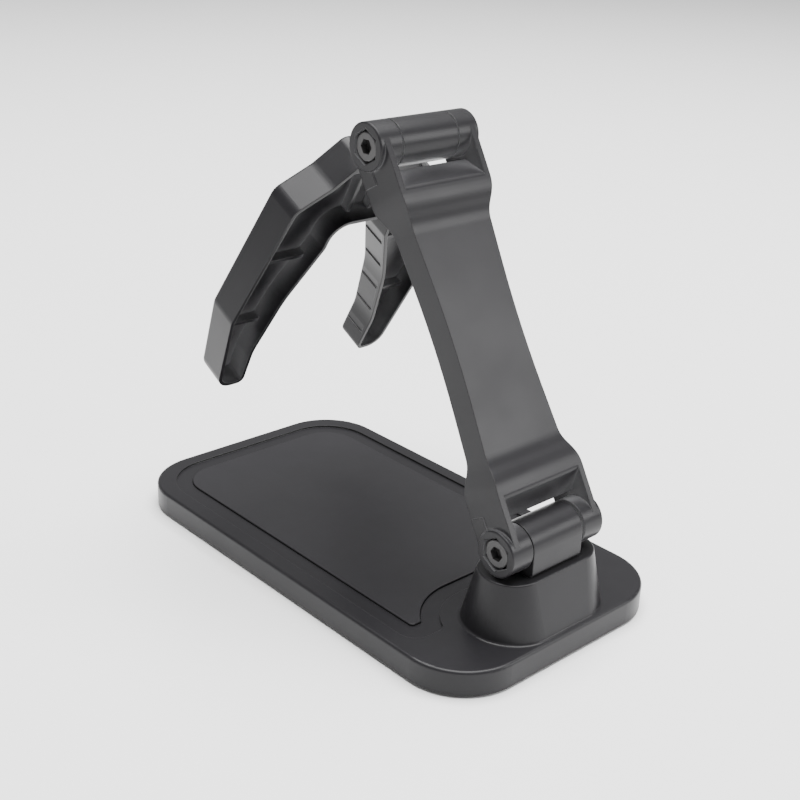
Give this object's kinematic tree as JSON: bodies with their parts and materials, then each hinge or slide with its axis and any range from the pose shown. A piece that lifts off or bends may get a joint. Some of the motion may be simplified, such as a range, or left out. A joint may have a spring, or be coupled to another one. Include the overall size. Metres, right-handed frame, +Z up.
{
  "type": "phone stand",
  "caption": "Folding desk phone stand: weighted rounded base with a phone-shaped mat, a hinged waisted arm and a two-jaw claw on a second hinge.",
  "frame": {"origin": "on the table surface under the centre of the base", "axes": "+X along both hinge axes, to the right when facing the mat from the pedestal end; +Y from the pedestal over the mat; +Z up"},
  "size_m": [0.09, 0.162, 0.1434],
  "materials": {
    "shell_plastic": "satin",
    "arm_plastic": "satin",
    "mat_rubber": "matte",
    "foot_rubber": "matte",
    "screw_steel": "black oxide",
    "plate_steel": "plain rolled",
    "bearing_plastic": "smooth"
  },
  "bodies": {
    "base": {"base_shell": "shell_plastic", "base_cover": "shell_plastic", "counterweight_plate": "plate_steel", "phone_mat": "mat_rubber", "rubber_foot_left_rear": "foot_rubber", "rubber_foot_left_front": "foot_rubber", "rubber_foot_right_rear": "foot_rubber", "rubber_foot_right_front": "foot_rubber", "cover_screws": "screw_steel", "hinge_knuckle": "shell_plastic", "knuckle_screws": "screw_steel", "lower_hinge_sleeve": "bearing_plastic"},
    "arm": {"arm": "arm_plastic", "lower_hinge_bolt": "screw_steel", "upper_hinge_bolt": "screw_steel", "lower_lock_nut": "screw_steel", "upper_lock_nut": "screw_steel", "lower_washer_left": "bearing_plastic", "lower_washer_right": "bearing_plastic", "upper_washer_left": "bearing_plastic", "upper_washer_right": "bearing_plastic"},
    "claw": {"claw": "arm_plastic", "upper_hinge_sleeve": "bearing_plastic"}
  },
  "joints": [
    {"name": "lower_hinge", "type": "hinge", "parent": "base", "child": "arm", "pos_m": [0, -0.0663, 0.0339], "axis": [1, 0, 0], "range_deg": [-20, 75]},
    {"name": "upper_hinge", "type": "hinge", "parent": "arm", "child": "claw", "pos_m": [0, -0.00687, 0.13642], "axis": [1, 0, 0], "range_deg": [-48, 210]}
  ]
}
